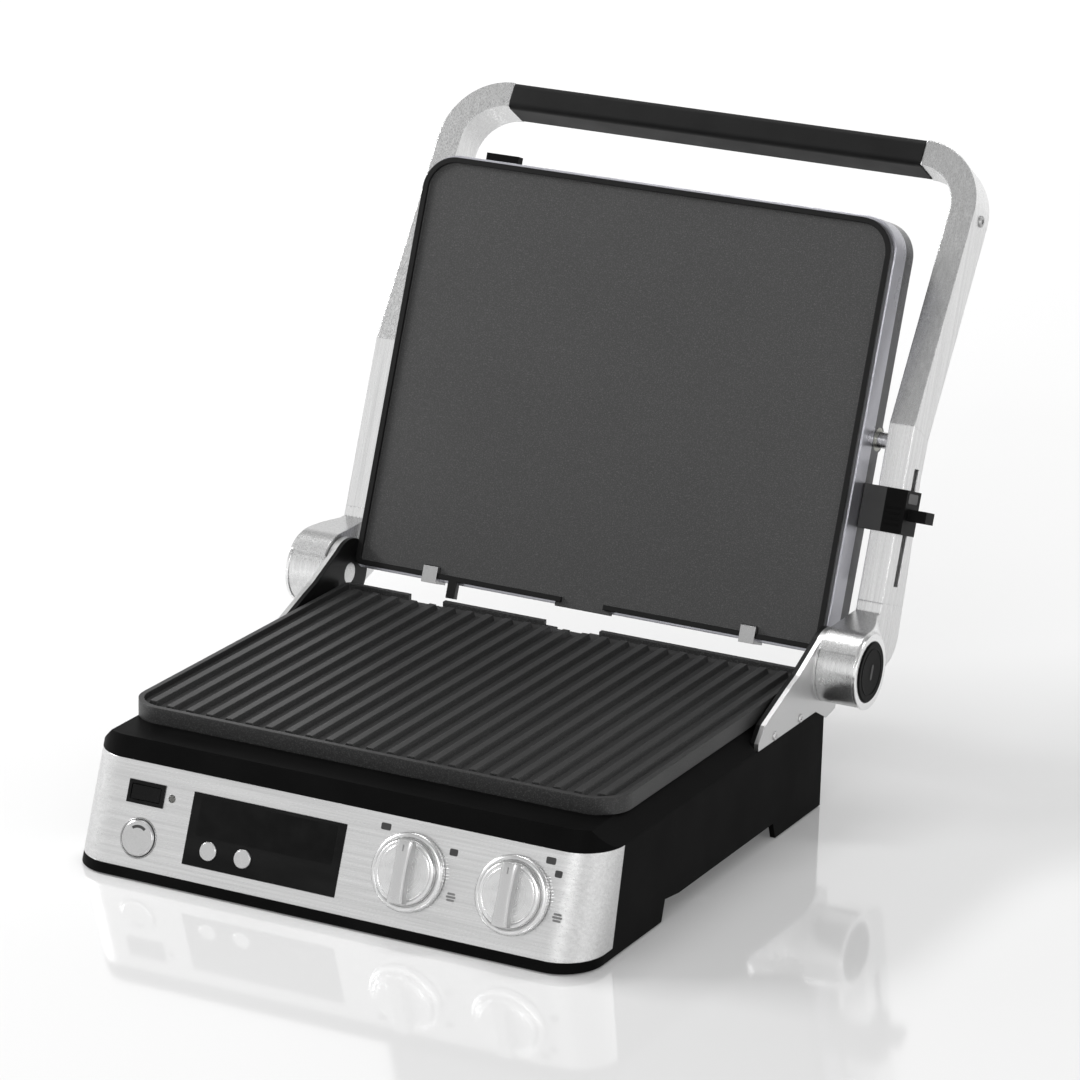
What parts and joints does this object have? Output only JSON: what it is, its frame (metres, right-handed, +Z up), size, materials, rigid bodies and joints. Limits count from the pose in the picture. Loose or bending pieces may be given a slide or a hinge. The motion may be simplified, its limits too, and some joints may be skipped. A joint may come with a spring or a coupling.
{
  "type": "electric indoor grill",
  "caption": "Countertop electric contact grill, open: ribbed lower plate, flat upper plate in a floating lid, U handle with grip, fascia with display and knobs.",
  "frame": {"origin": "on the table, under the middle of the box round the grill with its lid open", "axes": "+Z up, front with the controls towards -Y, +X to the right seen from the front"},
  "size_m": [0.3548, 0.466, 0.3352],
  "materials": {
    "housing_black": "satin black moulded plastic",
    "deck_black": "satin black moulded plastic",
    "fascia_steel": "brushed stainless steel sheet",
    "window_black": "gloss black panel",
    "rubber_black": "soft black rubber",
    "screw_steel": "plated steel",
    "circuit_board": "green board with parts",
    "encoder_metal": "plain metal case",
    "spindle_brass": "turned brass",
    "knob_metal": "satin metal",
    "button_metal": "satin metal",
    "rocker_black": "black moulded plastic",
    "lamp_lens": "small lens",
    "reflector_metal": "pressed aluminised sheet",
    "element_metal": "oxidised steel tube",
    "plate_coating": "dark non-stick coating on cast aluminium",
    "tray_black": "black moulded plastic",
    "bracket_metal": "satin cast metal",
    "pin_steel": "ground steel",
    "bush_brass": "sintered bronze",
    "arm_metal": "satin cast metal",
    "cap_metal": "satin metal",
    "button_black": "black moulded plastic",
    "grip_black": "satin black grip",
    "lid_silver": "silver paint, slightly blue",
    "lid_back": "dark satin paint",
    "clip_metal": "sprung steel"
  },
  "bodies": {
    "base": {"base_housing": "housing_black", "bottom_cover": "housing_black", "rubber_feet": "rubber_black", "cover_screws": "screw_steel", "top_deck": "deck_black", "front_fascia": "fascia_steel", "display_window": "window_black", "display_module": "circuit_board", "power_lamp": "lamp_lens", "rocker_frame": "rocker_black", "control_board": "circuit_board", "power_board": "circuit_board", "temperature_encoder": "encoder_metal", "timer_encoder": "encoder_metal", "lower_reflector": "reflector_metal", "lower_heating_element": "element_metal", "lower_temp_sensor": "encoder_metal", "cord_gland": "rubber_black", "hinge_bracket_left": "bracket_metal", "hinge_bracket_right": "bracket_metal", "hinge_pin_left": "pin_steel", "hinge_pin_right": "pin_steel", "bracket_screws": "screw_steel"},
    "arms": {"hinge_bush_left": "bush_brass", "hinge_bush_right": "bush_brass", "hinge_knuckle_left": "arm_metal", "hinge_knuckle_right": "arm_metal", "hub_cap_left": "cap_metal", "hub_cap_right": "cap_metal", "lower_arm_left": "arm_metal", "lower_arm_right": "arm_metal", "pivot_pin_left": "pin_steel", "pivot_pin_right": "pin_steel", "handle_frame": "arm_metal", "handle_grip": "grip_black", "handle_screws": "screw_steel"},
    "lid": {"lid_frame": "lid_silver", "lid_cover": "lid_back", "lid_screws": "screw_steel", "pivot_bush_left": "bush_brass", "pivot_bush_right": "bush_brass", "upper_reflector": "reflector_metal", "upper_heating_element": "element_metal", "upper_temp_sensor": "encoder_metal", "plate_clips": "clip_metal"},
    "upper_plate": {"upper_plate": "plate_coating"},
    "lower_plate": {"lower_plate": "plate_coating"},
    "lock_slider": {"lock_slider": "button_black"},
    "release_button": {"release_button": "button_black"},
    "plate_release": {"plate_release": "button_black"},
    "temperature_knob": {"temperature_knob": "knob_metal", "temperature_spindle": "spindle_brass"},
    "timer_knob": {"timer_knob": "knob_metal", "timer_spindle": "spindle_brass"},
    "power_rocker": {"power_rocker": "rocker_black"},
    "start_button": {"start_button": "button_metal"},
    "display_button_left": {"display_button_left": "button_metal"},
    "display_button_right": {"display_button_right": "button_metal"},
    "drip_tray": {"drip_tray": "tray_black"}
  },
  "joints": [
    {"name": "lid_hinge", "type": "hinge", "parent": "base", "child": "arms", "pos_m": [0, 0.05874, 0.0805], "axis": [-1, 0, 0], "range_deg": [-109.5, 69.5]},
    {"name": "lid_float", "type": "hinge", "parent": "arms", "child": "lid", "pos_m": [0, 0.12653, 0.18804], "axis": [1, 0, 0], "range_deg": [-0.5, 6]},
    {"name": "upper_plate_lift", "type": "slide", "parent": "lid", "child": "upper_plate", "axis": [0, -0.9426, 0.3338], "range_m": [0, 0.03]},
    {"name": "lower_plate_lift", "type": "slide", "parent": "base", "child": "lower_plate", "axis": [0, 0, 1], "range_m": [0, 0.03]},
    {"name": "slider_travel", "type": "slide", "parent": "arms", "child": "lock_slider", "axis": [0, 0.3338, 0.9426], "range_m": [-0.032, 0.016]},
    {"name": "hinge_release_press", "type": "slide", "parent": "arms", "child": "release_button", "axis": [-1, 0, 0], "range_m": [0, 0.0035], "stiffness_N_per_m": 900},
    {"name": "plate_release_press", "type": "slide", "parent": "lid", "child": "plate_release", "axis": [0, -0.3338, -0.9426], "range_m": [0, 0.0035], "stiffness_N_per_m": 900},
    {"name": "temperature_turn", "type": "hinge", "parent": "base", "child": "temperature_knob", "pos_m": [0.0465, -0.21597, 0.03288], "axis": [0, -0.9397, 0.342], "range_deg": [-135, 135]},
    {"name": "timer_turn", "type": "hinge", "parent": "base", "child": "timer_knob", "pos_m": [0.1055, -0.21597, 0.03288], "axis": [0, -0.9397, 0.342], "range_deg": [-135, 135]},
    {"name": "rocker_tilt", "type": "hinge", "parent": "base", "child": "power_rocker", "pos_m": [-0.1102, -0.20949, 0.0419], "axis": [0, -0.342, -0.9397], "range_deg": [0, 14]},
    {"name": "start_press", "type": "slide", "parent": "base", "child": "start_button", "axis": [0, 0.9397, -0.342], "range_m": [0, 0.002], "stiffness_N_per_m": 800},
    {"name": "display_left_press", "type": "slide", "parent": "base", "child": "display_button_left", "axis": [0, 0.9397, -0.342], "range_m": [0, 0.0008], "stiffness_N_per_m": 800},
    {"name": "display_right_press", "type": "slide", "parent": "base", "child": "display_button_right", "axis": [0, 0.9397, -0.342], "range_m": [0, 0.0008], "stiffness_N_per_m": 800},
    {"name": "drip_tray_slide", "type": "slide", "parent": "base", "child": "drip_tray", "axis": [0, 1, 0], "range_m": [0, 0.12]}
  ]
}
